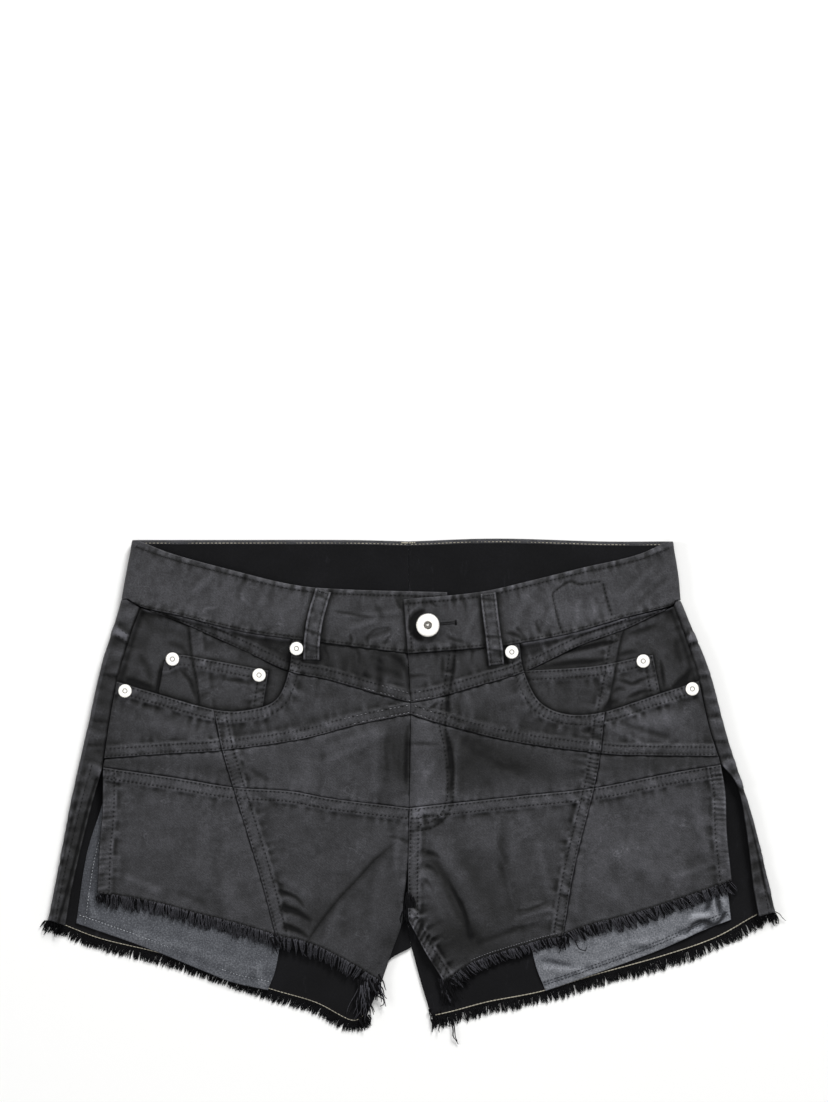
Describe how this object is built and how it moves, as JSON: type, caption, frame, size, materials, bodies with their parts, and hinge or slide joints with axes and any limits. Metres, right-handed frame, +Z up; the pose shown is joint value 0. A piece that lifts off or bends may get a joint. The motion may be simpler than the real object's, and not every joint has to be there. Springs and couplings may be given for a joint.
{
  "type": "denim shorts",
  "caption": "Low-rise patchwork denim shorts with frayed hems, side vents and hanging pocket bags, laid flat.",
  "frame": {"origin": "on the surface that the shorts lie on, under the middle of their box", "axes": "+X to the wearer's left, +Y to the waist, +Z up from the surface, out of the front"},
  "size_m": [0.5136, 0.3466, 0.0127],
  "materials": {
    "coated_denim": "coated cotton twill, dull sheen",
    "chambray": "plain-woven grey chambray",
    "frayed_edge": "loose cotton yarn, matt",
    "nickel": "satin nickel"
  },
  "bodies": {
    "root": {"back_R": "coated_denim", "waistband_R": "coated_denim", "yoke_R": "coated_denim", "upper_R": "coated_denim", "hip_R": "coated_denim", "wedge_in_R": "coated_denim", "wedge_out_R": "coated_denim", "leg_in_R": "coated_denim", "leg_out_R": "coated_denim", "facing_R": "coated_denim", "facing_top_R": "coated_denim", "coin_pocket_R": "coated_denim", "loop_R": "coated_denim", "back_L": "coated_denim", "waistband_L": "coated_denim", "yoke_L": "coated_denim", "upper_L": "coated_denim", "hip_L": "coated_denim", "wedge_in_L": "coated_denim", "wedge_out_L": "coated_denim", "leg_in_L": "coated_denim", "leg_out_L": "coated_denim", "facing_L": "coated_denim", "facing_top_L": "coated_denim", "coin_pocket_L": "coated_denim", "loop_L": "coated_denim", "bag_R": "chambray", "bag_L": "chambray", "fray_back_R": "frayed_edge", "fray_in_R": "frayed_edge", "fray_out_R": "frayed_edge", "fray_back_L": "frayed_edge", "fray_in_L": "frayed_edge", "fray_out_L": "frayed_edge", "button": "nickel", "rivet_1": "nickel", "rivet_2": "nickel", "rivet_3": "nickel", "rivet_4": "nickel", "rivet_5": "nickel", "rivet_6": "nickel", "rivet_7": "nickel"}
  },
  "joints": []
}
